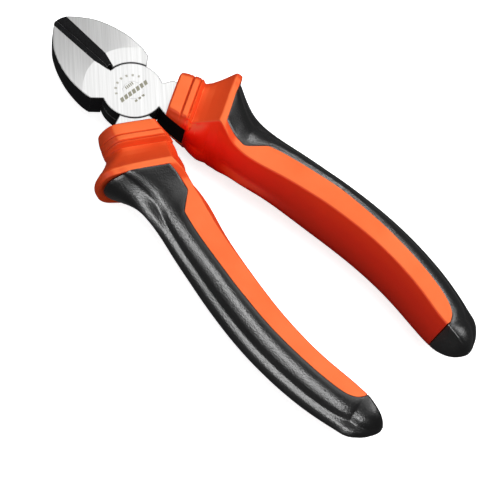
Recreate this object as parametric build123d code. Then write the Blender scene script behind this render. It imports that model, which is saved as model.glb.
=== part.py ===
from build123d import *
import os
from math import cos, sin, radians

# Diagonal cutting pliers, 165 mm class, lap joint, two-component handle covers.
# Frame: origin on the pivot axis in the joint's flat back face, +Z out of the
# front face, +Y towards the jaw tips, handles towards -Y. The shapes are built
# about the middle of the joint's thickness and lifted by half of it at the end.
# All dimensions in millimetres, jaws closed.

# ---------------------------------------------------------------- joint and rivet
JOINT_T = 8.70            # overall thickness
HALF_T = JOINT_T / 2
JOINT_R = 9.70            # each round lap plate
LAP_GAP = 0.02            # each lap face stands this far off the mid-plane
PLATE_GAP = 0.30          # clearance round each lap plate in its pocket
POCKET_OVERCUT = 1.0      # the pocket cutter runs this far past the face

RIVET_R = 3.10
RIVET_HEAD_R = 4.40       # countersunk head, flush with the back face
RIVET_HEAD_H = 1.30
RIVET_RUN = 0.04          # radial running clearance in the lower lever
SINK_RUN_R = 0.05         # clearance of the countersink, at its rim and in depth
SINK_RUN_H = 0.03
BORE_CUTTER_H = 2 * JOINT_T

# -------------------------------------------------------------------------- jaws
CUT_GAP = 0.015           # half of the closed gap between the cutting edges
CUT_START_Y = 9.0         # the jaw's inner side is offset by CUT_GAP from here on
FACE_R = 15.50            # the jaw faces start to fall away beyond this radius
FACE_SLOPE = 0.105        # drop of the jaw face per millimetre of radius
FACE_CUTTER_R = 42        # outer radius and top of the ring that trims the faces
FACE_CUTTER_Z = 9
JAW_ZONE = (60, 70, 40)   # box from y = 0 up that keeps the trimming off the arms

# outer edge of a jaw from the tip to the joint: distance from the Y axis, y
JAW_EDGE = [
    (0.00, 35.50), (1.55, 34.82), (3.07, 33.47), (4.71, 31.99), (6.43, 30.04),
    (7.89, 28.32), (9.24, 26.07), (10.35, 23.68), (11.14, 21.49), (11.77, 19.26),
    (12.29, 17.01), (12.58, 14.75), (12.71, 12.45), (12.69, 10.19), (12.52, 8.21),
    (12.04, 6.12)]
JAW_HEEL = (-8.92, 3.49)  # left jaw

# Cutting edges: y, edge height, face height, half width at the face of the
# front groove and of the back relief (whose face lies at minus the face height)
CUT_STATIONS = [
    (37.5, 0.18, 2.04, 2.70, 0.95),
    (15.4, 3.25, HALF_T, 2.34, 0.75),
    (10.4, 3.50, HALF_T, 1.04, 0.62)]

# relief hole at the root of the edges
ROOT_HALF_W = 0.80
ROOT_Y = (9.60, 11.60)
ROOT_CUTTER_H = 20

# -------------------------------------------------------------------------- arms
NECK_END_Y = -20.80
# neck of the right arm between the joint and the handle cover: x, y
NECK = [
    (2.44, -9.0), (2.10, -11.0), (1.98, -13.0), (2.25, -15.7), (2.60, -18.6),
    (2.95, NECK_END_Y), (8.2, NECK_END_Y), (12.6, -12.0), (12.9, -7.6),
    (12.35, -5.45), (9.05, -4.05)]

TANG_HALF_T = 3.00
# tang inside the right cover: x, y, width, direction of its width from +X in degrees
TANG = [
    (8.60, -13.8, 8.4, 28), (9.60, -19.0, 8.4, 26), (10.9, -27.0, 7.8, 22),
    (13.5, -37.9, 8.0, 18), (15.9, -46.5, 7.9, 16), (19.0, -59.7, 7.6, 12),
    (21.9, -76.4, 7.4, 7), (23.1, -93.0, 7.0, 0), (22.7, -101.4, 6.4, -4)]

# ----------------------------------------------------------------- handle covers
GRIP_DEPTH = 1.80         # thickness of the soft grip over the hard sleeve
GRIP_SIDE_EXTRA = 0.20    # added to it at the outermost point
BOND_GAP = 0.01           # modelling gap between sleeve and grip

# cut-out that leaves the neck's inner side bare
WINDOW_X = -1.2           # its middle
WINDOW_W = 9.6
WINDOW_TOP_Y = -8.0
WINDOW_H = JOINT_T + 0.02

# Right cover, front block: slices square to a line from the pivot, which leans
# FRONT_LEAN from -Y towards +X. Columns: distance along the line, inner top edge,
# its height, inner face at mid-height, inner bevel width and height, height of
# the flat top, outermost point. Places across the slice count from the line.
FRONT_LEAN = 30.0
FRONT_FLAT_W = 2.9        # width of the flat top
FRONT_CROWN = 0.05        # rise in the middle of the flat top
FRONT = [
    (12.12, -2.81, 6.79, -3.88, 0.29, 0.78, 6.69, 12.42),
    (12.61, -3.40, 7.52, -4.46, 0.78, 1.26, 7.37, 13.29),
    (14.55, -4.12, 7.86, -5.53, 0.68, 1.16, 7.71, 13.48),
    (16.39, -4.85, 8.15, -6.60, 0.63, 1.07, 8.00, 13.39),
    (16.68, -5.04, 7.71, -6.79, 0.48, 0.87, 7.52, 13.00),
    (17.02, -5.00, 8.58, -6.98, 0.63, 1.16, 8.49, 13.29),
    (18.77, -5.38, 8.88, -7.86, 0.68, 1.16, 8.78, 13.09),
    (19.11, -5.63, 8.39, -8.05, 0.48, 0.97, 8.24, 12.71),
    (19.45, -5.58, 8.83, -8.24, 0.58, 1.07, 8.73, 13.00),
    (19.74, -5.63, 8.58, -8.34, 0.48, 0.97, 8.44, 12.90),
    (20.47, -5.72, 6.74, -8.73, 0.29, 0.48, 6.55, 12.32),
    (22.31, -5.63, 7.71, -9.80, 0.29, 0.48, 7.61, 12.90),
    (24.25, -5.48, 8.88, -10.96, 0.29, 0.48, 8.78, 14.16),
    (26.19, -5.33, 10.19, -12.03, 0.29, 0.48, 10.09, 15.62),
    (27.74, -5.24, 11.30, -12.90, 0.29, 0.48, 11.15, 17.05),
    (28.61, -5.19, 11.93, -13.39, 0.29, 0.48, 11.79, 17.75),
    (29.20, -5.33, 12.08, -13.58, 0.29, 0.48, 12.03, 17.95),
    (30.78, -6.63, 11.35, -14.10, 0.25, 0.45, 11.65, 17.60)]
# the collar section turns into the flange section over this stretch of the line
FLANGE_START = 20.5
FLANGE_RUN = 6.0

# Body of the handle. Columns: x, y of the inner top edge, lean of the slice in
# degrees, height of that edge, inner bulge at mid-height, start of the soft grip
# and its height, outermost point. Places across count from the inner top edge.
BODY_BEVEL = (0.25, 0.45)  # inner bevel width and height
BODY_CROWN = 0.06
GUARD_ROWS = 3             # slices over which the guard section turns into lobes
BODY = [
    (9.65, -29.97, 30.0, 11.35, -7.47, 2.72, 11.65, 22.10),
    (9.31, -32.20, 27.0, 10.23, -6.40, 2.42, 10.28, 19.79),
    (9.46, -35.41, 23.0, 8.24, -5.53, 2.33, 8.39, 17.07),
    (9.99, -38.99, 19.0, 7.32, -5.24, 2.81, 7.66, 15.81),
    (11.06, -43.46, 16.5, 7.24, -5.24, 6.79, 7.61, 15.13),
    (12.22, -47.43, 16.0, 7.37, -5.24, 6.79, 8.10, 14.70),
    (13.48, -51.89, 15.0, 7.86, -5.33, 6.69, 8.54, 14.45),
    (15.42, -60.43, 12.5, 8.73, -5.63, 6.50, 9.46, 14.16),
    (17.07, -68.97, 9.5, 9.41, -5.82, 6.40, 10.14, 14.06),
    (18.28, -76.82, 7.5, 9.55, -5.82, 6.01, 10.09, 13.97),
    (19.25, -85.17, 4.0, 9.53, -5.82, 5.63, 9.85, 13.73),
    (19.59, -93.02, 0.0, 9.31, -5.72, 5.24, 9.70, 13.48),
    (19.37, -101.17, -4.0, 8.88, -5.63, 5.09, 9.55, 13.19),
    (18.57, -108.83, -7.5, 8.49, -5.43, 4.85, 9.21, 12.90),
    (17.75, -114.46, -9.0, 8.00, -5.14, 3.88, 8.63, 12.51),
    (17.41, -117.56, -10.0, 7.76, -5.04, 2.52, 8.34, 12.03),
    (17.27, -120.18, -11.0, 7.71, -4.85, 1.16, 7.95, 11.54)]
# rounded rear end, all soft grip material, same columns
END_CAP = [
    (17.31, -122.22, -11.5, 7.37, -4.75, 1.16, 7.57, 10.57),
    (17.46, -124.35, -12.0, 6.69, -4.37, 1.16, 6.79, 8.73),
    (17.61, -126.29, -12.0, 5.43, -3.59, 1.07, 5.53, 6.69),
    (17.90, -127.85, -12.0, 3.88, -2.52, 0.87, 3.93, 4.27),
    (18.24, -128.82, -12.0, 2.23, -1.46, 0.58, 2.23, 2.42),
    (18.43, -129.30, -12.0, 0.97, -0.68, 0.29, 0.97, 1.07)]

# Outer quarter of a slice as fractions (across, height), from the end of the
# flat top (0, 1) to the outermost point (1, 0)
COLLAR = [
    (.10, .99), (.25, .985), (.42, .97), (.56, .955), (.66, .93),
    (.74, .88), (.81, .78), (.88, .62), (.94, .42), (.985, .20)]
FLANGE = [
    (.10, .99), (.25, .965), (.42, .93), (.58, .885), (.69, .83),
    (.79, .775), (.87, .68), (.93, .53), (.97, .36), (.993, .17)]
GUARD = [
    (.10, .985), (.25, .972), (.40, .967), (.53, .957), (.622, .934),
    (.735, .85), (.804, .753), (.89, .578), (.958, .339), (.99, .16)]
LOBES = [
    (.12, .985), (.25, .935), (.38, .85), (.49, .75), (.575, .65),
    (.64, .53), (.70, .42), (.79, .34), (.88, .255), (.955, .13)]
# Sloping inner side as fractions (height, bulge): fullest behind mid-height
INNER_SLOPE = [
    (-1.0, .06), (-.85, .36), (-.70, .58), (-.55, .74), (-.39, .845), (-.20, .78),
    (0.0, .66), (.25, .50), (.50, .33), (.75, .16), (1.0, 0.0)]
UPRIGHT_POWER = 3.5       # squareness of the upright inner side


# ------------------------------------------------------------------------ levers
def plate_outline(sides):
    """Face between two splines whose ends are joined by straight lines."""
    with BuildSketch() as sketch:
        with BuildLine():
            left, right = [Spline(*points) for points in sides]
            Line(left @ 0, right @ 0)
            Line(left @ 1, right @ 1)
        make_face()
    return sketch.sketch


def make_jaw():
    with BuildSketch() as sketch:
        with BuildLine():
            edge = Spline(*[(min(-x, -CUT_GAP), y) for x, y in JAW_EDGE])
            Polyline(edge @ 1, JAW_HEEL, (0, 0), (-CUT_GAP, CUT_START_Y), edge @ 0)
        make_face()
    return extrude(sketch.sketch, HALF_T, both=True)


def make_neck():
    with BuildSketch() as sketch:
        with BuildLine():
            Polyline((0, 0), *NECK, close=True)
        make_face()
    return extrude(sketch.sketch, HALF_T, both=True)


def make_tang():
    sides = []
    for side in (-1, 1):
        sides.append([(x + side * width / 2 * cos(radians(lean)),
                       y + side * width / 2 * sin(radians(lean)))
                      for x, y, width, lean in TANG])
    return extrude(plate_outline(sides), TANG_HALF_T, both=True)


def make_blank():
    """Upper lever: left jaw, front lap plate, right arm with its tang."""
    plate = Cylinder(JOINT_R, HALF_T - LAP_GAP, align=(Align.CENTER, Align.CENTER, Align.MIN))
    pocket = Cylinder(JOINT_R + PLATE_GAP, HALF_T + POCKET_OVERCUT + LAP_GAP,
                      align=(Align.CENTER, Align.CENTER, Align.MAX))
    lift = Pos(0, 0, LAP_GAP)
    return (make_jaw() + make_neck()) - lift * pocket + lift * plate + make_tang()


def make_face_cutter():
    """Ring above the front face, with a conical underside, over the jaws only."""
    outer_z = HALF_T - FACE_SLOPE * (FACE_CUTTER_R - FACE_R)
    with BuildSketch(Plane.XZ) as sketch:
        with BuildLine():
            Polyline((FACE_R, HALF_T), (FACE_CUTTER_R, outer_z),
                     (FACE_CUTTER_R, FACE_CUTTER_Z), (FACE_R, FACE_CUTTER_Z), (FACE_R, HALF_T))
        make_face()
    ring = revolve(sketch.sketch, Axis.Z)
    return ring & (Pos(0, JAW_ZONE[1] / 2, 0) * Box(*JAW_ZONE))


def make_wedge(rows):
    """V cutter along the cutting edges, opening to twice the depth of the face.

    Rows: y, edge height, face height, half width at the face."""
    wires = []
    for y, edge_z, face_z, half_w in rows:
        open_z = edge_z + 2 * (face_z - edge_z)
        wires.append(Wire.make_polygon([Vector(0, y, edge_z),
                                        Vector(2 * half_w, y, open_z),
                                        Vector(-2 * half_w, y, open_z)], close=True))
    return ruled_loft(wires)


def dress(lever):
    """Cut the jaw faces, the front groove, the back relief and the root hole."""
    face_cutter = make_face_cutter()
    groove = make_wedge([(y, edge, face, front) for y, edge, face, front, _ in CUT_STATIONS])
    relief = make_wedge([(y, edge, -face, back) for y, edge, face, _, back in CUT_STATIONS])
    root = Pos(0, sum(ROOT_Y) / 2, 0) * Box(2 * ROOT_HALF_W, ROOT_Y[1] - ROOT_Y[0], ROOT_CUTTER_H)
    lever = lever - face_cutter - face_cutter.mirror(Plane.XY)
    return lever - groove - relief - root


def back_cone(rim_r, inner_r, height):
    """Cone narrowing forwards from the back face."""
    return Pos(0, 0, -HALF_T) * Cone(rim_r, inner_r, height,
                                     align=(Align.CENTER, Align.CENTER, Align.MIN))


def make_levers():
    blank = make_blank()
    upper = dress(blank) - Cylinder(RIVET_R, BORE_CUTTER_H)
    bore_r = RIVET_R + RIVET_RUN
    lower = dress(blank.rotate(Axis.Y, 180)) - Cylinder(bore_r, BORE_CUTTER_H)
    lower -= back_cone(RIVET_HEAD_R + SINK_RUN_R, bore_r, RIVET_HEAD_H + SINK_RUN_H)
    return upper, lower


def make_rivet():
    return Cylinder(RIVET_R, JOINT_T) + back_cone(RIVET_HEAD_R, RIVET_R, RIVET_HEAD_H)


# ---------------------------------------------------------------- cover sections
# Points of a slice are (across, z), with across counted from the inner top edge.
def ruled_loft(wires):
    return Solid.make_loft(wires, ruled=True)


def blend(start, end, share):
    return [(a0 + (a1 - a0) * share, z0 + (z1 - z0) * share)
            for (a0, z0), (a1, z1) in zip(start, end)]


def inner_side(bulge, edge_z, bevel_w, bevel_h, slope):
    """Inner side from the back edge to the front edge: upright (slope 0) to sloping (1)."""
    points = [(0.0, -edge_z)]
    for height, fullness in INNER_SLOPE:
        share = (1 - slope) * (1 - abs(height) ** UPRIGHT_POWER) + slope * fullness
        points.append((-bevel_w + (bulge + bevel_w) * share, height * (edge_z - bevel_h)))
    return points + [(0.0, edge_z)]


def flat_top(edge_z, flat_w, flat_z, crown):
    return [(flat_w * 0.5, (edge_z + flat_z) / 2 + crown), (flat_w, flat_z)]


def outer_quarter(flat_w, flat_z, outermost, quarter):
    points = [(flat_w + a * (outermost - flat_w), b * flat_z) for a, b in quarter]
    return points + [(outermost, 0.0)]


def with_back(front_half):
    """Points down to the mid-plane, then their mirror image."""
    return front_half + [(across, -z) for across, z in reversed(front_half[:-1])]


def place(points, x, y, lean):
    c, s = cos(radians(lean)), sin(radians(lean))
    return Wire.make_polygon([Vector(x + a * c, y + a * s, z) for a, z in points], close=True)


def front_wire(row):
    distance, edge, edge_z, inner, bevel_w, bevel_h, flat_z, outermost = row
    share = min(1.0, max(0.0, (distance - FLANGE_START) / FLANGE_RUN))
    side = inner_side(inner - edge, edge_z, bevel_w, bevel_h, share)
    top = flat_top(edge_z, FRONT_FLAT_W, flat_z, FRONT_CROWN)
    top += outer_quarter(FRONT_FLAT_W, flat_z, outermost - edge, blend(COLLAR, FLANGE, share))
    c, s = cos(radians(FRONT_LEAN)), sin(radians(FRONT_LEAN))
    return place(side + with_back(top), edge * c + distance * s, edge * s - distance * c,
                 FRONT_LEAN)


def body_wires(row, share):
    """Wires of one body slice: hard core, soft grip round it, and both as one."""
    x, y, lean, edge_z, bulge, flat_w, flat_z, outermost = row
    quarter = blend(GUARD, LOBES, share)
    side = inner_side(bulge, edge_z, *BODY_BEVEL, 1.0)
    top = flat_top(edge_z, flat_w, flat_z, BODY_CROWN)
    outer = outer_quarter(flat_w, flat_z, outermost, quarter)
    recess_z = flat_z - GRIP_DEPTH
    recess = [(flat_w, recess_z)] + outer_quarter(
        flat_w, recess_z, outermost - GRIP_DEPTH - GRIP_SIDE_EXTRA, quarter)

    grip_outside = with_back([(flat_w + BOND_GAP, flat_z)] + outer)
    grip_inside = with_back([(a + BOND_GAP, z + (BOND_GAP if z > 0 else 0.0)) for a, z in recess])
    loops = (side + with_back(top + recess),
             grip_outside + grip_inside[::-1],
             side + with_back(top + outer))
    return [place(loop, x, y, lean) for loop in loops]


def make_right_cover(upper):
    """Hard sleeve and soft grip of the right handle."""
    slices = [body_wires(row, min(1.0, i / GUARD_ROWS)) for i, row in enumerate(BODY)]
    cores, wraps, _ = zip(*slices)
    block = ruled_loft([front_wire(row) for row in FRONT])
    sleeve = block + ruled_loft(list(cores))
    cap = ruled_loft([body_wires(row, 1.0)[2] for row in [BODY[-1]] + END_CAP])
    grip = ruled_loft(list(wraps)) + cap
    window = Pos(WINDOW_X, (NECK_END_Y + WINDOW_TOP_Y) / 2, 0) * Box(
        WINDOW_W, WINDOW_TOP_Y - NECK_END_Y, WINDOW_H)
    return sleeve - upper - window, grip


# ------------------------------------------------------------------------ export
upper_lever, lower_lever = make_levers()
right_sleeve, right_grip = make_right_cover(upper_lever)
nodes = {
    "upper_lever": upper_lever,
    "lower_lever": lower_lever,
    "pivot_rivet": make_rivet(),
    "right_sleeve": right_sleeve,
    "left_sleeve": right_sleeve.mirror(Plane.YZ),
    "right_soft_grip": right_grip,
    "left_soft_grip": right_grip.mirror(Plane.YZ),
}

os.makedirs("parts", exist_ok=True)
for name, shape in nodes.items():
    export_step(shape.moved(Location((0, 0, HALF_T))), f"parts/{name}.step")
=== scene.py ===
# Hand tool with two crossed steel levers and two-part covers on both handles.
# The joint is at x = y = 0 with its axis along z. The handles run towards -y, the right one
# at +x and the left one at -x. A cover is a hard orange sleeve with a soft black grip let
# into its outer side. "Front" is the end near the joint, "inner" the side facing x = 0.
import math

import bmesh
import bpy
import numpy as np
from mathutils import Matrix, Vector


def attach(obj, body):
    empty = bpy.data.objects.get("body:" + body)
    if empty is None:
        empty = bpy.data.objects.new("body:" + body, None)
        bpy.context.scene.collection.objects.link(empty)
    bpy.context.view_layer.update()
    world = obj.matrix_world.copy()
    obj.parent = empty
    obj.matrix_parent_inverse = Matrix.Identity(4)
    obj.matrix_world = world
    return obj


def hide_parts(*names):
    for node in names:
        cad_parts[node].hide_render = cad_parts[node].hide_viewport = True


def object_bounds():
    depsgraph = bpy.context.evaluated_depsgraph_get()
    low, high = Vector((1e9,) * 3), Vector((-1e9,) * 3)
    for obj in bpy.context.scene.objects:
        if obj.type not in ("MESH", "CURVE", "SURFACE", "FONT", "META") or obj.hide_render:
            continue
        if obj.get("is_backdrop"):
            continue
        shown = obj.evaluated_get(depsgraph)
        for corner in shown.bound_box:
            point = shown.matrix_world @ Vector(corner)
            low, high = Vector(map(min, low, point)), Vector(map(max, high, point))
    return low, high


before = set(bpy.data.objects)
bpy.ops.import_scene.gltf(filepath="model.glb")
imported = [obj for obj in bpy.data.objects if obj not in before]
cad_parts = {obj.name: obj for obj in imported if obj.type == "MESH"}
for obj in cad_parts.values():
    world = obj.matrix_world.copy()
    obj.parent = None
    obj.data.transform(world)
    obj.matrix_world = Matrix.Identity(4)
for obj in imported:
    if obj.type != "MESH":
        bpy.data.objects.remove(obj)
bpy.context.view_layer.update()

MM = 0.001
LIFT = 4.35                          # mm, the tables count z from the middle of the joint

# ------------------------------------------------------------------ tables, mm
# Right-hand cover. A slice stands across the handle; offsets in it are counted outwards
# from its inner top edge, unless a table says otherwise.

# Front block, along a line from the joint that leans LEAN from -y towards +x: distance
# along the line, inner top edge across the line, its height, inner face at mid-height
# (across the line), bevel width and height, height of the flat top, outermost point
# (across the line).
LEAN = math.radians(30.0)
FRONT = np.array([
    (12.12, -2.81, 6.79, -3.88, 0.29, 0.78, 6.69, 12.42),
    (12.61, -3.40, 7.52, -4.46, 0.78, 1.26, 7.37, 13.29),
    (14.55, -4.12, 7.86, -5.53, 0.68, 1.16, 7.71, 13.48),
    (16.39, -4.85, 8.15, -6.60, 0.63, 1.07, 8.00, 13.39),
    (16.68, -5.04, 7.71, -6.79, 0.48, 0.87, 7.52, 13.00),
    (17.02, -5.00, 8.58, -6.98, 0.63, 1.16, 8.49, 13.29),
    (18.77, -5.38, 8.88, -7.86, 0.68, 1.16, 8.78, 13.09),
    (19.11, -5.63, 8.39, -8.05, 0.48, 0.97, 8.24, 12.71),
    (19.45, -5.58, 8.83, -8.24, 0.58, 1.07, 8.73, 13.00),
    (19.74, -5.63, 8.58, -8.34, 0.48, 0.97, 8.44, 12.90),
    (20.47, -5.72, 6.74, -8.73, 0.29, 0.48, 6.55, 12.32),
    (22.31, -5.63, 7.71, -9.80, 0.29, 0.48, 7.61, 12.90),
    (24.25, -5.48, 8.88, -10.96, 0.29, 0.48, 8.78, 14.16),
    (26.19, -5.33, 10.19, -12.03, 0.29, 0.48, 10.09, 15.62),
    (27.74, -5.24, 11.30, -12.90, 0.29, 0.48, 11.15, 17.02),
    (28.61, -5.19, 11.93, -13.39, 0.29, 0.48, 11.79, 17.72),
    (29.20, -5.33, 12.08, -13.58, 0.29, 0.48, 12.03, 17.91),
    (30.78, -6.63, 11.33, -14.10, 0.25, 0.45, 11.62, 17.56)])
# Body and tail: x and y of the inner top edge, lean of the slice in degrees, height of
# that edge, inner bulge at mid-height, start of the soft grip and its height, outermost point.
BODY = np.array([
    (9.65, -29.97, 30.0, 11.33, -7.47, 2.72, 11.62, 22.06),
    (9.31, -32.20, 27.0, 10.23, -6.40, 2.42, 10.28, 19.79),
    (9.46, -35.41, 23.0, 8.24, -5.53, 2.33, 8.39, 17.07),
    (9.99, -38.99, 19.0, 7.32, -5.24, 2.81, 7.66, 15.81),
    (11.06, -43.46, 16.5, 7.24, -5.24, 6.79, 7.61, 15.13),
    (12.22, -47.43, 16.0, 7.37, -5.24, 6.79, 8.10, 14.70),
    (13.48, -51.89, 15.0, 7.86, -5.33, 6.69, 8.54, 14.45),
    (15.42, -60.43, 12.5, 8.73, -5.63, 6.50, 9.46, 14.16),
    (17.07, -68.97, 9.5, 9.41, -5.82, 6.40, 10.14, 14.06),
    (18.28, -76.82, 7.5, 9.55, -5.82, 6.01, 10.09, 13.97),
    (19.25, -85.17, 4.0, 9.53, -5.82, 5.63, 9.85, 13.73),
    (19.59, -93.02, 0.0, 9.31, -5.72, 5.24, 9.70, 13.48),
    (19.37, -101.17, -4.0, 8.88, -5.63, 5.09, 9.55, 13.19),
    (18.57, -108.83, -7.5, 8.49, -5.43, 4.85, 9.21, 12.90),
    (17.75, -114.46, -9.0, 8.00, -5.14, 3.88, 8.63, 12.51),
    (17.41, -117.56, -10.0, 7.76, -5.04, 2.52, 8.34, 12.03),
    (17.27, -120.18, -11.0, 7.71, -4.85, 1.16, 7.95, 11.54)])
TAIL = np.array([
    (17.31, -122.22, -11.5, 7.37, -4.75, 1.16, 7.57, 10.57),
    (17.46, -124.35, -12.0, 6.69, -4.37, 1.16, 6.79, 8.73),
    (17.61, -126.29, -12.0, 5.43, -3.59, 1.07, 5.53, 6.69),
    (17.90, -127.85, -12.0, 3.88, -2.52, 0.87, 3.93, 4.27),
    (18.24, -128.82, -12.0, 2.23, -1.46, 0.58, 2.23, 2.42),
    (18.43, -129.30, -12.0, 0.97, -0.68, 0.29, 0.97, 1.07)])
GRIP_START = 5                       # column of the soft grip's start
# Start of the soft grip in finer steps along the body: y of the inner edge, start.
# It is read straight between the points up to GRIP_STEP, and as a curve behind it.
GRIP_EDGE = np.array([
    (-29.97, 2.72), (-34.0, 2.36), (-38.1, 2.15), (-44.1, 6.79), (-47.4, 6.82), (-51.9, 6.72),
    (-60.4, 6.50), (-69.0, 6.35), (-76.8, 6.01), (-85.2, 5.66), (-93.0, 5.34), (-101.2, 5.16),
    (-108.8, 5.09), (-112.0, 4.95), (-114.5, 4.62), (-116.7, 3.90), (-118.4, 2.75),
    (-119.5, 1.45), (-120.18, 0.25)])
GRIP_STEP = 3
# Outer quarters of a slice, as fractions: from the soft grip's start outwards, height.
OUTER_POINTS = {
    "collar": [(0, 1), (.10, .99), (.25, .985), (.42, .97), (.56, .955), (.66, .93),
               (.74, .88), (.81, .78), (.88, .62), (.94, .42), (.985, .20), (1, 0)],
    "flange": [(0, 1), (.10, .99), (.25, .965), (.42, .93), (.58, .885), (.69, .83),
               (.79, .775), (.87, .68), (.93, .53), (.97, .36), (.993, .17), (1, 0)],
    "grip": [(0, 1), (.12, .985), (.28, .972), (.43, .962), (.55, .945), (.635, .905),
             (.69, .83), (.725, .735), (.80, .63), (.88, .51), (.955, .33), (1, 0)],
    "lobes": [(0, 1), (.12, .985), (.25, .935), (.38, .85), (.49, .75), (.575, .65),
              (.64, .53), (.70, .42), (.79, .34), (.88, .255), (.955, .13), (1, 0)]}
# Inner side of a slice, as fractions: height, bulge. It is fullest below mid-height.
INNER_BULGE = np.array([
    (-1.0, .06), (-.85, .36), (-.70, .58), (-.55, .74), (-.39, .845), (-.20, .78),
    (0.0, .66), (.25, .50), (.50, .33), (.75, .16), (1.0, 0.0)])
# The neck's inner side is bare steel up to this height, and in front of this y.
NECK_Z, NECK_END = 4.37, -20.80
STEEL_EDGE = np.array([              # y, x of the edge of that steel
    (-20.8, 2.95), (-18.6, 2.60), (-15.7, 2.25), (-13.0, 1.98), (-11.0, 2.10), (-9.0, 2.44)])

# Columns of a slice, counted from mid-height of the inner side over the top and round.
N_INNER, N_NECK = 14, 9              # inner side up to the bevel, those of them at the steel
N_BEVEL, N_TOP = 6, 9
SPLIT = 4                            # steps between two points of an outer quarter
N_OUTER = 11 * SPLIT
UPPER_SEAM = N_INNER + N_BEVEL + N_TOP - 2      # column where the soft grip starts
HALF = UPPER_SEAM + 1 + N_OUTER
RING = 2 * HALF - 2
LOWER_SEAM = RING - UPPER_SEAM
SEAMS = ((UPPER_SEAM, 1), (LOWER_SEAM, -1))     # column, step into the grip
GRIP_COLUMNS = list(range(UPPER_SEAM, LOWER_SEAM + 1))

ACROSS = np.array([math.cos(LEAN), math.sin(LEAN), 0.0])
ALONG = np.array([math.sin(LEAN), -math.cos(LEAN), 0.0])

# Distance along the handle of every station and every row of the skin
T_RIM = FRONT[-1, 0]                 # the front block ends at the rim of the guard
STATIONS = np.vstack([BODY, TAIL])
T_STATIONS = T_RIM + np.concatenate(
    [[0], np.cumsum(np.hypot(np.diff(STATIONS[:, 0]), np.diff(STATIONS[:, 1])))])
T_FRONT = np.linspace(FRONT[0, 0], T_RIM, 156)
T_BODY = np.concatenate([np.linspace(T_RIM, 40.0, 40)[:-1],
                         np.linspace(40.0, T_STATIONS[len(BODY) - 1], 182)])
N_BODY = len(T_BODY)
TAIL_ROWS = 44
T_TAIL = 200.0                       # stands for any place behind all the changes of shape
# Share of the inner bulge kept in the upper part of the slice
KEEP_T = np.append(T_STATIONS[:9], 91.0)
KEEP = np.array([0.85, 0.71, 0.71, 0.73, 0.76, 0.78, 0.84, 0.92, 0.985, 1.0])


# ------------------------------------------------------------------ curves
def unit(value):
    return min(1.0, max(0.0, value))


def pchip(x, xs, ys):
    """Monotone cubic through the points."""
    xs, ys = np.asarray(xs, float), np.asarray(ys, float)
    gap, rise = np.diff(xs), np.diff(ys) / np.diff(xs)
    slope = np.zeros(len(xs))
    for i in range(1, len(xs) - 1):
        if rise[i - 1] * rise[i] > 0:
            before, after = 2 * gap[i] + gap[i - 1], gap[i] + 2 * gap[i - 1]
            slope[i] = (before + after) / (before / rise[i - 1] + after / rise[i])
    slope[0], slope[-1] = rise[0], rise[-1]
    i = np.clip(np.searchsorted(xs, x, side="right") - 1, 0, len(xs) - 2)
    t = (x - xs[i]) / gap[i]
    return ((2 * t ** 3 - 3 * t ** 2 + 1) * ys[i]
            + (t ** 3 - 2 * t ** 2 + t) * gap[i] * slope[i]
            + (3 * t ** 2 - 2 * t ** 3) * ys[i + 1]
            + (t ** 3 - t ** 2) * gap[i] * slope[i + 1])


def spline(x, xs, ys):
    """Natural cubic spline through the points."""
    xs, ys = np.asarray(xs, float), np.asarray(ys, float)
    count, gap = len(xs), np.diff(xs)
    system, right = np.eye(count), np.zeros(count)
    for i in range(1, count - 1):
        system[i, i - 1:i + 2] = (gap[i - 1], 2 * (gap[i - 1] + gap[i]), gap[i])
        right[i] = 6 * ((ys[i + 1] - ys[i]) / gap[i] - (ys[i] - ys[i - 1]) / gap[i - 1])
    bend = np.linalg.solve(system, right)
    i = np.clip(np.searchsorted(xs, x, side="right") - 1, 0, count - 2)
    ahead, behind = xs[i + 1] - x, x - xs[i]
    return ((bend[i] * ahead ** 3 + bend[i + 1] * behind ** 3) / (6 * gap[i])
            + (ys[i] / gap[i] - bend[i] * gap[i] / 6) * ahead
            + (ys[i + 1] / gap[i] - bend[i + 1] * gap[i] / 6) * behind)


def dense_quarter(points):
    """Catmull-Rom through the points of an outer quarter."""
    points = np.array(points, float)
    padded = np.vstack([2 * points[0] - points[1], points, points[-2] * [1, -1]])
    out = []
    for i in range(len(points) - 1):
        p0, p1, p2, p3 = padded[i:i + 4]
        for k in range(SPLIT):
            t = k / SPLIT
            out.append(0.5 * (2 * p1 + (p2 - p0) * t
                              + (2 * p0 - 5 * p1 + 4 * p2 - p3) * t * t
                              + (3 * p1 - p0 - 3 * p2 + p3) * t ** 3))
    out.append(points[-1])
    return np.array(out)


def smooth_rows(grid, at, sigma):
    """Gaussian average along the rows, by distance, with the ends held."""
    out = grid.copy()
    window = math.ceil(3 * np.max(sigma) / np.median(np.diff(at)))
    sigmas = np.broadcast_to(sigma, at.shape)
    for i in range(len(at)):
        reach = min(window, i, len(at) - 1 - i)
        if sigmas[i] <= 1e-6 or reach == 0:
            continue
        near = slice(i - reach, i + reach + 1)
        weight = np.exp(-0.5 * ((at[near] - at[i]) / sigmas[i]) ** 2)
        weight /= weight.sum()
        out[i] = np.tensordot(weight, grid[near], axes=(0, 0))
    return out


# ------------------------------------------------------------------ slices
OUTER = {name: dense_quarter(points) for name, points in OUTER_POINTS.items()}
EVEN_HEIGHTS = np.linspace(0, 1, N_INNER) ** 0.9


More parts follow.
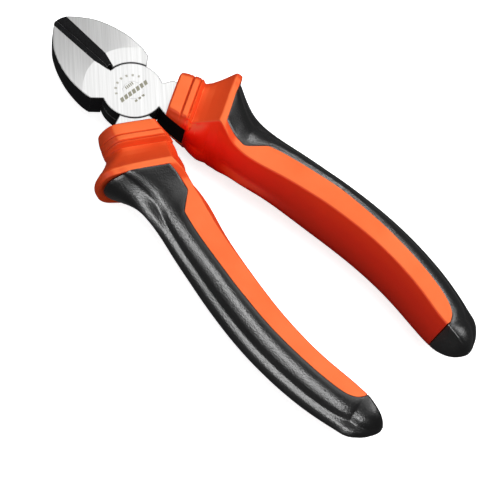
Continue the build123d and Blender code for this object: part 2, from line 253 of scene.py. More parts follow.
def half_slice(side, edge_z, bulge, bevel_w, bevel_h, soft, seam, seam_z, outermost,
               curve, crisp, keep):
    """Upper (side 1) or lower (side -1) half, as (offset, height without sign).

    soft goes from a square block (0) to a sloping inner side (1), crisp moves the
    columns to the edge of the neck's steel, keep scales the bulge above mid-height.
    """
    bevel_z = edge_z - bevel_h
    steel = NECK_Z / bevel_z
    at_steel = np.concatenate([np.linspace(0, steel - 0.012, N_NECK),
                               np.linspace(steel, 1, N_INNER - N_NECK)])
    heights = at_steel * crisp + EVEN_HEIGHTS * (1 - crisp)
    bulges = ((1 - soft) * (1 - heights ** 3.5)
              + soft * spline(side * heights, INNER_BULGE[:, 0], INNER_BULGE[:, 1]))
    bulges = bulges * (1 - (1 - keep) * np.clip(1 + side * heights / 0.35, 0, 1))
    points = [(-bevel_w + (bulge + bevel_w) * out, height * bevel_z)
              for out, height in zip(bulges, heights)]

    def crowned(offset):
        u = min(1.0, offset / seam)
        return offset, edge_z + (seam_z - edge_z) * u + 0.16 * u * (1 - u)

    flat = min(0.75, 0.6 * seam)     # the bevel curve reaches this far over the top
    start, end = points[-1], crowned(flat)
    if soft > 0.5:
        pull = (-bevel_w * 0.4, edge_z + 0.01)
    else:
        pull = (-bevel_w * (1 - 0.35 * soft), edge_z - 0.12 * bevel_h)
    for k in range(1, N_BEVEL):
        t = k / N_BEVEL
        points.append(tuple((1 - t) ** 2 * a + 2 * t * (1 - t) * b + t * t * c
                            for a, b, c in zip(start, pull, end)))
    points += [crowned(flat + (seam - flat) * k / (N_TOP - 1)) for k in range(N_TOP)]
    points += [(seam + out * (outermost - seam), height * seam_z) for out, height in curve[1:]]
    return np.array(points)


def ring(x, y, lean, **shape):
    """Closed slice at the inner edge point x, y."""
    upper, lower = [half_slice(side, **shape) for side in (1, -1)]
    full = np.vstack([upper, lower[-2:0:-1] * [1, -1]])
    return np.column_stack([x + full[:, 0] * math.cos(lean),
                            y + full[:, 0] * math.sin(lean), full[:, 1]])


def front_row(t):
    edge, edge_z, inner, bevel_w, bevel_h, seam_z, outermost = [
        np.interp(t, FRONT[:, 0], FRONT[:, k]) for k in range(1, 8)]
    flange = unit((t - 20.5) / 6.0)
    return ring(
        edge * math.cos(LEAN) + t * math.sin(LEAN),
        edge * math.sin(LEAN) - t * math.cos(LEAN), LEAN,
        edge_z=edge_z, bulge=inner - edge, bevel_w=bevel_w, bevel_h=bevel_h, soft=flange,
        seam=2.9 - 0.18 * flange, seam_z=seam_z, outermost=outermost - edge,
        curve=OUTER["collar"] * (1 - flange) + OUTER["flange"] * flange,
        crisp=unit((25.0 - t) / 3.0), keep=1 - 0.15 * unit((t - 26.5) / 4.2))


def body_row(x, y, lean, edge_z, bulge, seam, seam_z, outermost, t):
    lobes = unit((t - T_RIM) / 9.4)
    lobes = lobes * lobes * (3 - 2 * lobes)
    return ring(
        x, y, math.radians(lean),
        edge_z=edge_z, bulge=bulge, bevel_w=0.25, bevel_h=0.45, soft=1.0,
        seam=seam, seam_z=seam_z, outermost=outermost,
        curve=OUTER["grip"] * (1 - lobes) + OUTER["lobes"] * lobes,
        crisp=0.0, keep=pchip(min(t, 90.0), KEEP_T, KEEP))


def body_columns():
    """The columns of BODY, read at every row of the body."""
    count = len(BODY)
    sigma = np.clip((T_BODY - T_RIM) * 0.12, 0.0, 0.9)
    columns = []
    for k in range(8):
        if k < 2:
            column = spline(T_BODY, T_STATIONS[:count + 2], STATIONS[:count + 2, k])
        elif k == GRIP_START:
            edge_y = columns[1]
            straight = np.interp(-edge_y, -GRIP_EDGE[:, 0], GRIP_EDGE[:, 1])
            curved = pchip(-edge_y, -GRIP_EDGE[GRIP_STEP:, 0], GRIP_EDGE[GRIP_STEP:, 1])
            column = np.where(edge_y < GRIP_EDGE[GRIP_STEP, 0], curved, straight)
            column = smooth_rows(column, T_BODY, 0.35)
        else:
            column = pchip(T_BODY, T_STATIONS[:count + 1], STATIONS[:count + 1, k])
            column = smooth_rows(column, T_BODY, sigma)
        columns.append(column)
    return columns


def tail_row(u):
    """Row of the rounded end, u stations behind the last one of the body."""
    first = len(BODY) - 4
    at = len(BODY) - 1 + u
    numbers = np.arange(len(STATIONS), dtype=float)[first:]
    values = [(spline if k < 2 else pchip)(at, numbers, STATIONS[first:, k]) for k in range(8)]
    widest = 0.25 + 0.9 * min(1.0, u / 1.5)
    values[GRIP_START] = max(0.2, min(values[GRIP_START], values[7] * 0.28, widest))
    return body_row(*values, T_TAIL)


# ------------------------------------------------------------------ master skin
# front and body are grids of row, column, xyz; the functions below change them in place.
def join_blocks(front, body):
    """Smooth the inner side and the top over the join of the two blocks."""
    both = np.concatenate([front, body[1:N_BODY]])
    at = np.concatenate([T_FRONT, T_BODY[1:]])
    both = smooth_rows(both, at, np.where(np.abs(at - T_RIM) < 3.0, 0.35, 0.0))
    columns = [*range(UPPER_SEAM + 1), *range(LOWER_SEAM, RING)]
    front[:, columns] = both[:len(T_FRONT), columns]
    body[:N_BODY, columns] = both[len(T_FRONT) - 1:, columns]


def fill_lower_inner(front, body):
    """Between the collar and the guard the lower half of the inner side is fuller."""
    front_fill = pchip(T_FRONT, [12.0, 18.3, 20.4, 22.6, 24.6, 26.2, 28.2, T_RIM],
                       [0.0, 0.0, 0.85, 1.25, 1.2, 0.75, -0.3, -0.45])
    body_fill = pchip(np.minimum(T_BODY, 40.0), [T_RIM, 33.4, 36.5, 41.0],
                      [-0.45, -0.2, 0.0, 0.0])
    for k in range(1, N_INNER + 2):
        share = math.sin(math.pi * min(1.0, k / (N_INNER + 1.0))) ** 0.7
        front[:, RING - k] -= ACROSS * (front_fill * share)[:, None]
        body[:N_BODY, RING - k] -= ACROSS * (body_fill * share)[:, None]


def smooth_grip(body):
    """The soft grip flows into the guard without kinks, away from its seam."""
    sigma = (np.clip((T_BODY - T_RIM) * 0.50, 0.0, 1.8)
             * np.clip((52.0 - T_BODY) / 6.0, 0.25, 1.0))
    flow = smooth_rows(body[:N_BODY], T_BODY, sigma)
    for k in range(3, N_OUTER + 1):
        share = min(1.0, (k - 2) / 9.0)
        # A set, because both columns meet in one at the outermost point.
        for c in {UPPER_SEAM + k, LOWER_SEAM - k}:
            body[:N_BODY, c] += (flow[:, c] - body[:N_BODY, c]) * share


def open_neck_window(front):
    """Let the steel of the neck show on the inner side."""
    # The wall above and below the window comes down to the edge of the steel.
    for row in front:
        bevel_z = abs(row[N_INNER - 1, 2])
        for k in range(N_NECK, N_INNER):
            for c in (k, RING - k):
                x, y, z = row[c]
                if y > NECK_END - 0.6:
                    steel_x = np.interp(y, STEEL_EDGE[:, 0], STEEL_EDGE[:, 1])
                    over = max(0.0, x - (steel_x - 0.06))
                    share = unit((bevel_z - abs(z)) / (bevel_z - NECK_Z))
                    row[c] -= ACROSS * (over * share / math.cos(LEAN))
    # The wall of the window itself sinks behind the steel.
    for c in [*range(N_NECK), *(RING - k for k in range(1, N_NECK))]:
        bare = front[:, c, 1] > NECK_END
        front[bare, c] += 1.3 * ACROSS


def outward_normals(grid):
    around = np.roll(grid, -1, 1) - np.roll(grid, 1, 1)
    normal = np.cross(around, np.gradient(grid, axis=0))
    normal /= np.maximum(np.linalg.norm(normal, axis=2, keepdims=True), 1e-12)
    middle = grid.mean(axis=1, keepdims=True)
    sign = np.sign(((grid - middle) * normal).sum(axis=(1, 2)))
    return normal * np.median(sign)


def master_skin():
    front = np.array([front_row(t) for t in T_FRONT])
    rows = [body_row(*values) for values in zip(*body_columns(), T_BODY)]
    rows += [tail_row(u) for u in np.linspace(0, len(TAIL), TAIL_ROWS)[1:]]
    body = np.array(rows)
    front = smooth_rows(front, T_FRONT, 0.10)
    join_blocks(front, body)
    fill_lower_inner(front, body)
    smooth_grip(body)
    open_neck_window(front)
    normals = outward_normals(body)
    normals[-3:] = normals[-4]       # the last rows are too small for steady normals
    return front, body, normals


skin_front, skin_body, skin_normals = master_skin()


# ------------------------------------------------------------------ mesh helpers
def index(row, column):
    return row * RING + column % RING


def quad(row, column):
    return (index(row, column), index(row, column + 1),
            index(row + 1, column + 1), index(row + 1, column))


def make_object(name, verts, faces, lever, material, replaced):
    mesh = bpy.data.meshes.new(name)
    mesh.from_pydata([(x, y, z + LIFT * MM) for x, y, z in verts], [], faces)
    mesh.validate()
    bm = bmesh.new()
    bm.from_mesh(mesh)
    bmesh.ops.remove_doubles(bm, verts=bm.verts, dist=2e-7)
    bmesh.ops.dissolve_degenerate(bm, edges=bm.edges, dist=1e-7)
    bmesh.ops.recalc_face_normals(bm, faces=bm.faces)
    bmesh.ops.triangulate(bm, faces=[face for face in bm.faces if len(face.verts) > 4])
    if bm.calc_volume(signed=True) < 0:
        bmesh.ops.reverse_faces(bm, faces=bm.faces)
    bm.to_mesh(mesh)
    bm.free()
    mesh.polygons.foreach_set("use_smooth", [True] * len(mesh.polygons))
    mesh.set_sharp_from_angle(angle=math.radians(38.0))
    obj = bpy.data.objects.new(name, mesh)
    bpy.context.scene.collection.objects.link(obj)
    mesh.materials.append(material)
    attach(obj, lever)
    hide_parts(replaced)


def make_pair(part, verts, faces, slot_name, material, replaced):
    """Right cover, and its mirror image in x as the left one."""
    for side, mirror, lever in (("right", 1.0, "upper_half"), ("left", -1.0, "lower_half")):
        make_object(f"{side}_{part}", verts * np.array([mirror, 1.0, 1.0]), faces,
                    lever, material, f"{side}_{replaced}")


# ------------------------------------------------------------------ hard sleeve
RECESS = 1.55                        # depth of the bed for the soft grip
LIP_DROP = 0.10                      # the sleeve's edge at the seam lies this much lower
RIM_ROUNDING = ((0.20, 0.03), (0.08, 0.10), (0.0, 0.26))   # forwards from the end, inwards


def rim_rows():
    """End of the front block: the rim's rear edge is rounded where the grip starts."""
    end = skin_front[-1]
    middle = end.mean(axis=0)
    rows = []
    for back, drop in RIM_ROUNDING:
        row = end.copy()
        for c in GRIP_COLUMNS[1:-1]:
            outwards = end[c] - middle
            outwards[2] *= 1.6
            outwards /= np.linalg.norm(outwards)
            fade = min(1.0, (c - UPPER_SEAM) / 5.0, (LOWER_SEAM - c) / 5.0)
            row[c] = end[c] - ALONG * back * fade - outwards * drop * fade
        rows.append(row)
    return np.array(rows)


def sleeve_mesh():
    skin, normals = skin_body[:N_BODY], skin_normals[:N_BODY]
    sleeve = skin.copy()
    sleeve[:, GRIP_COLUMNS] -= normals[:, GRIP_COLUMNS] * RECESS
    # The seam's own column stays up, the next one lies straight below it.
    for edge, step in SEAMS:
        sleeve[:, edge] = skin[:, edge] - normals[:, edge] * LIP_DROP
        sleeve[:, edge + step] = skin[:, edge] - normals[:, edge] * RECESS
    # The last row is doubled under the end cap; make_object merges the two.
    grid = np.concatenate([skin_front[:-1], rim_rows(), sleeve[:-1], sleeve[-2:-1]])
    count = len(grid)
    faces = [quad(i, c) for i in range(count - 1) for c in range(RING)]
    faces.append(tuple(range(RING)))
    faces.append(tuple(reversed(range((count - 1) * RING, count * RING))))
    return grid.reshape(-1, 3) * MM, faces


# ------------------------------------------------------------------ soft grip
GRIP_WALL = 1.35
SEAM_GAP = 0.05                      # between the grip's edges and the sleeve
PROUD, PROUD_NEXT = 0.05, 0.045      # above the skin: everywhere, next to the seam
SEAM_SINK = 0.16                     # the edge column rolls down below the skin
FRONT_ROLL, FRONT_SINK = 0.6, 0.20   # length and depth of the roll-down at the front


def grip_surfaces():
    """Outer surface with the rounded end, and inner surface of the wall."""
    skin, normals = skin_body[:N_BODY], skin_normals[:N_BODY]
    lift = np.zeros(skin_body.shape[:2])
    lift[:, GRIP_COLUMNS] = PROUD
    roll = np.clip(1 - (T_BODY - T_RIM) / FRONT_ROLL, 0.0, 1.0)
    lift[:N_BODY, GRIP_COLUMNS] -= (FRONT_SINK * roll ** 2)[:, None]
    for edge, step in SEAMS:
        lift[:N_BODY, edge] = -SEAM_SINK
        lift[:N_BODY, edge + step] = np.minimum(lift[:N_BODY, edge + step], PROUD_NEXT)
    outer = skin_body + skin_normals * lift[:, :, None]
    inner = skin - normals * GRIP_WALL
    outer[0] += ALONG * SEAM_GAP
    inner[0] += ALONG * SEAM_GAP
    for edge, step in SEAMS:
        away = skin[:, edge + step] - skin[:, edge]
        away = away / np.linalg.norm(away, axis=1, keepdims=True) * SEAM_GAP
        outer[:N_BODY, edge] += away
        inner[:, edge] = skin[:, edge] - normals[:, edge] * GRIP_WALL + away
    return outer, inner


def grip_mesh():
    outer, inner = grip_surfaces()
    count = len(outer)               # rows from here on belong to the inner surface
    first, last = UPPER_SEAM, LOWER_SEAM
    end = N_BODY - 1                 # from this row on the grip closes all round
    faces = []
    for i in range(end):
        under = count + i
        for c in range(first, last):
            faces.append(quad(i, c))
            faces.append((index(under, c), index(under + 1, c),
                          index(under + 1, c + 1), index(under, c + 1)))
        faces.append((index(i, first), index(i + 1, first),
                      index(under + 1, first), index(under, first)))
        faces.append((index(i, last), index(under, last),
                      index(under + 1, last), index(i + 1, last)))
    for c in range(first, last):
        faces.append((index(0, c), index(count, c), index(count, c + 1), index(0, c + 1)))
    for i in range(end, count - 1):
        faces += [quad(i, c) for c in range(RING)]
    # Face that closes the rounded end against the sleeve
    faces.append(tuple([index(end, c) for c in range(last, first + RING + 1)]
                       + [index(count + end, c) for c in range(first, last + 1)]))
    middle = outer[-1].mean(axis=0)
    tip = middle + (middle - outer[-2].mean(axis=0)) * 0.6
    tip_index = (count + N_BODY) * RING
    faces += [(index(count - 1, c), index(count - 1, c + 1), tip_index) for c in range(RING)]
    verts = np.concatenate([outer.reshape(-1, 3), inner.reshape(-1, 3), tip[None]])
    used = sorted(set(i for face in faces for i in face))
    renumber = {old: new for new, old in enumerate(used)}
    return verts[used] * MM, [tuple(renumber[i] for i in face) for face in faces]


# ------------------------------------------------------------------ materials
NOISE_SPAN = (0.30, 0.70)            # range that most of a noise falls in


class NodeTree:
    """Short hand for the nodes of a material. Sockets and plain values can be mixed."""

    def __init__(self, name):
        self.material = bpy.data.materials.new(name)
        self.material.use_nodes = True
        self.tree = self.material.node_tree
        self.tree.nodes.clear()

    def add_node(self, kind, **props):
        node = self.tree.nodes.new(kind)
        for key, value in props.items():
            setattr(node, key, value)
        return node

    def put(self, socket, value):
        if isinstance(value, bpy.types.NodeSocket):
            self.tree.links.new(value, socket)
        else:
            socket.default_value = value

    def put_all(self, node, **values):
        """Underscores in the keywords stand for spaces in the input names."""
        for key, value in values.items():
            self.put(node.inputs[key.replace("_", " ")], value)

    def math(self, operation, a, b=0.0):
        node = self.add_node("ShaderNodeMath", operation=operation)
        self.put(node.inputs[0], a)
        self.put(node.inputs[1], b)
        return node.outputs[0]

    def add(self, a, b):
        return self.math("ADD", a, b)

    def sub(self, a, b):
        return self.math("SUBTRACT", a, b)

    def mul(self, a, b):
        return self.math("MULTIPLY", a, b)

    def max(self, a, b):
        return self.math("MAXIMUM", a, b)

    def off(self, value, centre):
        """Distance from the centre."""
        return self.math("ABSOLUTE", self.sub(value, centre))

    def radius(self, x, y):
        return self.math("SQRT", self.add(self.mul(x, x), self.mul(y, y)))

    def step(self, value, span, to=(0.0, 1.0)):
        """Smooth step from to[0] to to[1] while the value crosses the span."""
        node = self.add_node("ShaderNodeMapRange", interpolation_type="SMOOTHSTEP")
        self.put_all(node, Value=value, From_Min=span[0], From_Max=span[1],
                     To_Min=to[0], To_Max=to[1])
        return node.outputs["Result"]

    def mix(self, factor, first, second):
        """Mix of two colours, each a socket or a linear (r, g, b)."""
        node = self.add_node("ShaderNodeMix", data_type="RGBA")
        self.put(node.inputs[0], factor)
        for i, color in ((6, first), (7, second)):
            self.put(node.inputs[i], (*color, 1.0) if isinstance(color, tuple) else color)
        return node.outputs[2]

    def noise(self, place, scale, detail=3.0, rough=0.55):
        node = self.add_node("ShaderNodeTexNoise")
        self.put_all(node, Vector=place, Scale=scale, Detail=detail, Roughness=rough)
        return node.outputs["Fac"]

    def mapping(self, place, turn=(0, 0, 0), scale=(1, 1, 1)):
        node = self.add_node("ShaderNodeMapping")
        self.put_all(node, Vector=place, Rotation=turn, Scale=scale)
        return node.outputs["Vector"]

    def xyz(self, vector):
        node = self.add_node("ShaderNodeSeparateXYZ")
        self.put(node.inputs[0], vector)
        return node.outputs

    def bevel(self, true_normal, radius, samples):
        """Normal rounded over the edges, and how far it turns from the true one."""
        node = self.add_node("ShaderNodeBevel", samples=samples)
        self.put_all(node, Radius=radius)
        dot = self.add_node("ShaderNodeVectorMath", operation="DOT_PRODUCT")
        self.put(dot.inputs[0], true_normal)
        self.put(dot.inputs[1], node.outputs["Normal"])
        return node.outputs["Normal"], self.sub(1.0, dot.outputs["Value"])

    def bump(self, height, strength, **normal):
        node = self.add_node("ShaderNodeBump")
        self.put_all(node, Height=height, Strength=strength, Distance=1.0, **normal)
        return node.outputs["Normal"]

    def finish(self, **inputs):
        shader = self.add_node("ShaderNodeBsdfPrincipled")
        self.put_all(shader, **inputs)
        output = self.add_node("ShaderNodeOutputMaterial")
        self.tree.links.new(shader.outputs[0], output.inputs[0])
        return self.material


def linear(*srgb):
    """sRGB 0-255 to a linear colour."""
    return tuple((c / 255 / 12.92) if c / 255 <= 0.04045 else ((c / 255 + 0.055) / 1.055) ** 2.4
                 for c in srgb)


# Etched pattern, mm. Rows of slanted bars: centre x and y, half width, half height,
# pitch, filled share of the pitch, slant (x per y).
BAR_ROWS = (
    (0.05, -0.50, 5.55, 0.74, 1.62, 0.74, 0.35),
    (0.25, 1.93, 1.60, 0.52, 0.66, 0.60, 0.15),
    (-0.2, -3.46, 2.05, 0.34, 1.50, 0.62, 0.2))
# Arc of ticks: radius, angle of its middle and pitch of the ticks in degrees
TICK_RADIUS, TICK_ANGLE, TICK_PITCH = 5.35, 91.0, 21.2
GRIND_ANGLE = math.radians(-50.4)    # direction of the grinding lines


def bar_row(tree, x, y, centre_x, centre_y, half_w, half_h, pitch, fill, slant):
    slanted = tree.sub(x, tree.mul(tree.sub(y, centre_y), slant))
    outside = tree.max(tree.sub(tree.off(slanted, centre_x), half_w),
                       tree.sub(tree.off(y, centre_y), half_h))
    area = tree.step(outside, (-0.05, 0.05), to=(1.0, 0.0))
    turns = tree.math("DIVIDE", tree.sub(slanted, centre_x - half_w), pitch)
    phase = tree.math("FRACT", tree.add(turns, 0.0))
    bar = tree.step(tree.off(phase, fill / 2), (fill / 2 - 0.04, fill / 2 + 0.04),
                    to=(1.0, 0.0))
    return tree.mul(area, bar)


def tick_arc(tree, x, y):
    radius = tree.radius(x, y)
    angle = tree.mul(tree.math("ARCTAN2", y, x), 180 / math.pi)
    band = tree.step(tree.off(radius, TICK_RADIUS), (0.36, 0.46), to=(1.0, 0.0))
    sweep = tree.step(tree.off(angle, TICK_ANGLE), (66.0, 67.0), to=(1.0, 0.0))
    turns = tree.math("DIVIDE", tree.sub(angle, TICK_ANGLE), TICK_PITCH)
    phase = tree.math("FRACT", tree.add(turns, 0.5))
    tick = tree.step(tree.off(phase, 0.5), (0.16, 0.20), to=(1.0, 0.0))
    return tree.mul(tree.mul(band, sweep), tree.mul(tick, 0.7))


def mark_mask(tree, place):
    x, y, _ = tree.xyz(tree.mapping(place, scale=(1000, 1000, 1000)))    # metres to mm
    parts = [bar_row(tree, x, y, *row) for row in BAR_ROWS] + [tick_arc(tree, x, y)]
    mask = parts[0]
    for part in parts[1:]:
        mask = tree.max(mask, part)
    return mask


def steel_material(name, marks):
    """Bright ground steel on faces square to z, black finish on the sides."""
    tree = NodeTree(name)
    place = tree.add_node("ShaderNodeTexCoord").outputs["Object"]
    true_normal = tree.add_node("ShaderNodeNewGeometry").outputs["True Normal"]
    up = tree.xyz(true_normal)[2]
    face = tree.step(tree.math("ABSOLUTE", up), (0.955, 0.975))
    rounded, edge_turn = tree.bevel(true_normal, radius=0.00020, samples=6)
    # Grinding lines: noise stretched along one direction, a fine one and a coarse one
    turned = tree.mapping(place, turn=(0, 0, GRIND_ANGLE))
    fine = tree.noise(tree.mapping(turned, scale=(60, 7000, 60)), 1.0, detail=2.0, rough=0.5)
    coarse = tree.noise(tree.mapping(turned, scale=(25, 1400, 25)), 1.0, rough=0.6)
    lines = tree.add(tree.mul(fine, 0.45), tree.mul(coarse, 0.55))
    cloud = tree.noise(place, 140.0, detail=4.0, rough=0.6)
    speck = tree.noise(place, 2600.0, rough=0.6)
    bright = tree.mix(tree.step(lines, NOISE_SPAN), (0.47, 0.47, 0.467), (0.60, 0.60, 0.597))
    dark = tree.mix(tree.step(speck, (0.35, 0.7)),
                    (0.006, 0.006, 0.0065), (0.014, 0.014, 0.0155))
    # Edges of the dark sides are worn bright in patches.
    wear = tree.mul(tree.step(edge_turn, (0.03, 0.16)), 0.55)
    shine = tree.max(face, tree.mul(wear, tree.step(cloud, (0.35, 0.6))))
    color = tree.mix(shine, dark, bright)
    # The broken edge round the ground flats is drawn dark, except at the flush rivet.
    x, y, _ = tree.xyz(place)
    reach = tree.radius(x, y)
    _, wide_turn = tree.bevel(true_normal, radius=0.00080, samples=8)
    rim = tree.mul(tree.mul(face, tree.step(reach, (0.0040, 0.0046))),
                   tree.step(wide_turn, (0.015, 0.10), to=(0.0, 0.82)))
    color = tree.mix(rim, color, (0.07, 0.07, 0.07))
    # Roughness: base plus variation, bright steel first, then the dark finish
    rough = tree.add(
        tree.mul(tree.add(0.23, tree.mul(lines, 0.16)), shine),
        tree.mul(tree.add(0.50, tree.mul(cloud, 0.18)), tree.sub(1.0, shine)))
    metal = shine
    if marks:
        # Shares: etch in the colour, metal lost; roughness is at least 0.6 in the etch.
        mask = tree.mul(mark_mask(tree, place), tree.step(up, (0.9, 0.95)))
        etched = tree.mix(tree.noise(place, 3000.0, detail=2.0),
                          linear(112, 110, 90), linear(144, 142, 120))
        color = tree.mix(tree.mul(mask, 0.92), color, etched)
        metal = tree.mul(metal, tree.sub(1.0, tree.mul(mask, 0.8)))
        rough = tree.max(rough, tree.mul(mask, 0.6))
    # Relief in metres: lines on the flats, specks on the sides
    height = tree.add(tree.mul(tree.mul(lines, face), 0.000004),
                      tree.mul(tree.mul(speck, tree.sub(1.0, face)), 0.00002))
    return tree.finish(Base_Color=color, Metallic=metal, Roughness=rough,
                       Normal=tree.bump(height, strength=0.5, Normal=rounded),
                       IOR=tree.add(1.12, tree.mul(shine, 0.38)))


def orange_material():
    """Orange with light and shade painted into its colour: lighter on top, painted deep red
    shade on the inner side and in hollows.
    """
    tree = NodeTree("orange_sleeve")
    coordinates = tree.add_node("ShaderNodeTexCoord")
    place, normal = coordinates.outputs["Object"], coordinates.outputs["Normal"]
    up = tree.xyz(normal)[2]
    # Faces that look straight down count as tops too.
    level = tree.max(up, tree.step(up, (-0.95, -0.85), to=(1.0, 0.0)))
    cloud = tree.noise(place, 60.0, rough=0.5)
    grain = tree.noise(place, 5200.0, detail=2.0, rough=0.5)
    fine = tree.noise(place, 1500.0, rough=0.6)
    x, y, z = tree.xyz(place)
    # Painted light: tops get a lit copy of the orange, slopes a half-lit one; the cloud varies
    # the tone at random
    lit_top = tree.mix(tree.step(cloud, NOISE_SPAN), (0.94, 0.160, 0.042), (1.0, 0.190, 0.056))
    middle = tree.mix(tree.step(cloud, NOISE_SPAN), (0.76, 0.066, 0.013), (0.82, 0.076, 0.016))
    # Painted shade on the inner side: stronger near the joint, darker low down, lighter high up
    near_joint = tree.step(y, (-0.066, -0.026))
    inner = tree.mix(near_joint, (0.66, 0.020, 0.0022), (1.0, 0.016, 0.0022))
    low = tree.mix(near_joint, (0.30, 0.008, 0.001), (0.42, 0.007, 0.001))
    inner = tree.mix(tree.step(z, (-0.0035, 0.0105)), low, inner)
    inner = tree.mix(tree.step(z, (0.0080, 0.0135), to=(0.0, 0.40)), inner, (1.0, 0.060, 0.006))
    # Negative where the surface looks at the other handle or down; these faces get the painted
    # inner shade
    facing = tree.mul(tree.xyz(normal)[0], tree.math("SIGN", x))
    under = tree.mul(tree.math("MINIMUM", up, 0.0), 0.5)
    side = tree.mix(tree.step(tree.add(facing, under), (-0.32, -0.02)), inner, middle)
    # The front end has no painted inner shade, the left sleeve (-x) only a little.
    side = tree.mix(tree.step(y, (-0.0205, -0.0175)), side, middle)
    side = tree.mix(tree.step(x, (-0.001, 0.001), to=(0.7, 0.0)), side, middle)
    # Painted light and shade by facing: shaded sides, half-lit slopes, lit tops
    color = tree.mix(tree.step(level, (0.46, 0.80)), side, middle)
    color = tree.mix(tree.step(level, (0.84, 0.965)), color, lit_top)
    # Painted highlights on crests and painted shade in hollows
    point = tree.add_node("ShaderNodeNewGeometry").outputs["Pointiness"]
    painted_crest_light = tree.mul(tree.step(point, (0.52, 0.60)),
                     tree.step(level, (0.40, 0.62), to=(0.0, 0.25)))
    color = tree.mix(painted_crest_light, color, (1.0, 0.24, 0.07))
    painted_hollow_shade = tree.step(point, (0.42, 0.49), to=(0.85, 0.0))
    color = tree.mix(painted_hollow_shade, color, (0.40, 0.012, 0.002))
    # Relief in metres
    height = tree.add(tree.mul(grain, 0.000012), tree.mul(fine, 0.000018))
    return tree.finish(Base_Color=color, Roughness=tree.add(0.42, tree.mul(fine, 0.16)),
                       Normal=tree.bump(height, strength=0.35), Specular_IOR_Level=0.07)


def black_material():
    """Black with a fine pebbled grain."""
    tree = NodeTree("black_grip")
    place = tree.add_node("ShaderNodeTexCoord").outputs["Object"]
    pebbles = tree.add_node("ShaderNodeTexVoronoi", feature="SMOOTH_F1")
    tree.put_all(pebbles, Vector=place, Scale=2250.0, Smoothness=0.6)
    fine = tree.noise(place, 4200.0, detail=2.0, rough=0.5)
    cloud = tree.noise(place, 90.0, detail=4.0)
    color = tree.mix(tree.step(cloud, NOISE_SPAN),
                     (0.0045, 0.0045, 0.0047), (0.0085, 0.0085, 0.0088))
    rough = tree.add(0.235, tree.add(tree.mul(fine, 0.08), tree.mul(cloud, 0.05)))
    # Relief in metres; the pebbles stand up round their centres
    height = tree.add(tree.mul(pebbles.outputs["Distance"], -0.00006), tree.mul(fine, 0.00003))
    return tree.finish(Base_Color=color, Roughness=rough,
                       Normal=tree.bump(height, strength=0.8), Specular_IOR_Level=0.5)


def floor_material():
    tree = NodeTree("pale_floor")
    place = tree.add_node("ShaderNodeTexCoord").outputs["Object"]
    color = tree.mix(tree.noise(place, 8.0), (0.90, 0.90, 0.90), (0.93, 0.93, 0.93))
    return tree.finish(Base_Color=color, Roughness=0.7, Specular_IOR_Level=0.2,
                       Emission_Color=(1, 1, 1, 1), Emission_Strength=0.8)


# ------------------------------------------------------------------ build
steels = {"upper_lever": steel_material("ground_steel_upper", marks=True),
          "lower_lever": steel_material("ground_steel_lower", marks=False),
          "pivot_rivet": steel_material("rivet_steel", marks=True)}
orange = orange_material()
black = black_material()

make_pair("hard_sleeve", *sleeve_mesh(), "orange_sleeve", orange, "sleeve")
make_pair("grip_cover", *grip_mesh(), "black_grip", black, "soft_grip")

# CAD pieces that are shown as they are
for node_name, steel in steels.items():
    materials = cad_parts[node_name].data.materials
    materials.clear()
    materials.append(steel)


# ------------------------------------------------------------------ floor
def make_floor(size=6.0, steps=40, gap=0.0001):
    """Square grid a small gap below everything; lengths in metres."""
    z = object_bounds()[0][2] - gap
    bm = bmesh.new()
    for i in range(steps + 1):
        for j in range(steps + 1):
            bm.verts.new(((i / steps - 0.5) * size, (j / steps - 0.5) * size, z))
    bm.verts.ensure_lookup_table()
    for i in range(steps):
        for j in range(steps):
            a = i * (steps + 1) + j
            corners = (a, a + steps + 1, a + steps + 2, a + 1)
            bm.faces.new([bm.verts[corner] for corner in corners])
    mesh = bpy.data.meshes.new("studio_floor")
    bm.to_mesh(mesh)
    bm.free()
    floor = bpy.data.objects.new("studio_floor", mesh)
    bpy.context.scene.collection.objects.link(floor)
    mesh.materials.append(floor_material())
    floor.visible_diffuse = False
    floor.visible_glossy = False
    floor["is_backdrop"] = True


make_floor()

# ------------------------------------------------------------------ lights
LIGHT_TARGET = Vector((0, -0.045, 0))


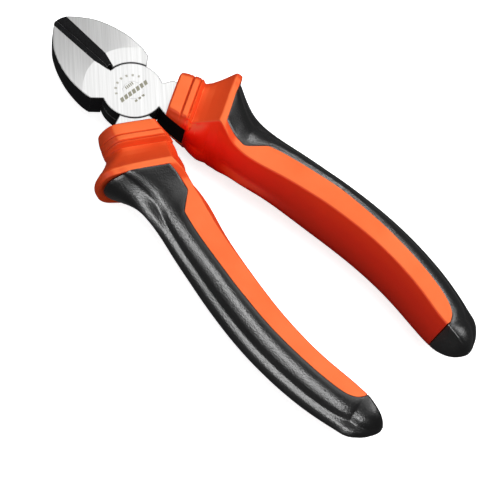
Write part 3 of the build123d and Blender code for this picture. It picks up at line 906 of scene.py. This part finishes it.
def area(name, direction, distance, size, power, flat=False, diffuse=True, glossy=True):
    """Area light that faces the target, or straight down when flat. Metres, watts."""
    towards = Vector(direction).normalized()
    data = bpy.data.lights.new(name, "AREA")
    data.shape = "RECTANGLE"
    data.size, data.size_y = size
    data.energy = power
    light = bpy.data.objects.new(name, data)
    light.location = LIGHT_TARGET + towards * distance
    if not flat:
        light.rotation_euler = towards.to_track_quat("Z", "Y").to_euler()
    bpy.context.scene.collection.objects.link(light)
    light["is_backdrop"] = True
    light.visible_diffuse = diffuse
    light.visible_glossy = glossy


area("key_softbox", direction=(0.33, -0.125, 1.0), distance=1.06, size=(1.35, 1.75),
     power=11.5, flat=True)
area("rear_key", direction=(0.55, -0.50, 0.67), distance=1.0, size=(0.55, 0.55), power=5.2)
area("left_strip", direction=(-0.897, 0.126, 0.423), distance=0.883, size=(1.8, 0.20),
     power=22.0, diffuse=False)
area("right_glint", direction=(0.757, 0.337, 0.559), distance=0.9, size=(0.24, 0.24),
     power=2.6, diffuse=False)
area("top_glint", direction=(0.19, 0.03, 0.98), distance=1.0, size=(0.12, 0.12),
     power=0.4, diffuse=False)
area("left_fill", direction=(-0.88, -0.15, 0.42), distance=1.1, size=(0.8, 0.6),
     power=3.0, glossy=False)

scene = bpy.context.scene
scene.world = bpy.data.worlds.new("studio")
scene.world.use_nodes = True
background = scene.world.node_tree.nodes["Background"]
background.inputs["Color"].default_value = (1.0, 1.0, 1.0, 1.0)
background.inputs["Strength"].default_value = 0.10

scene.view_settings.view_transform = "Standard"
scene.view_settings.look = "None"

# ------------------------------------------------------------------ camera
# Columns: the camera's right, up and backward axes, then its place in metres
CAMERA_MATRIX = Matrix((
    (0.71477855, 0.57089834, -0.40393899, -0.24817),
    (-0.68414393, 0.6905987, -0.23456451, -0.20162),
    (0.14504725, 0.44401409, 0.88420178, 0.53004),
    (0, 0, 0, 1)))
camera_data = bpy.data.cameras.new("camera")
camera_data.sensor_width = 36.0      # mm
camera_data.lens = 141.795864        # mm
camera_data.clip_start, camera_data.clip_end = 0.01, 20.0
camera = bpy.data.objects.new("camera", camera_data)
camera.matrix_world = CAMERA_MATRIX
scene.collection.objects.link(camera)
scene.camera = camera
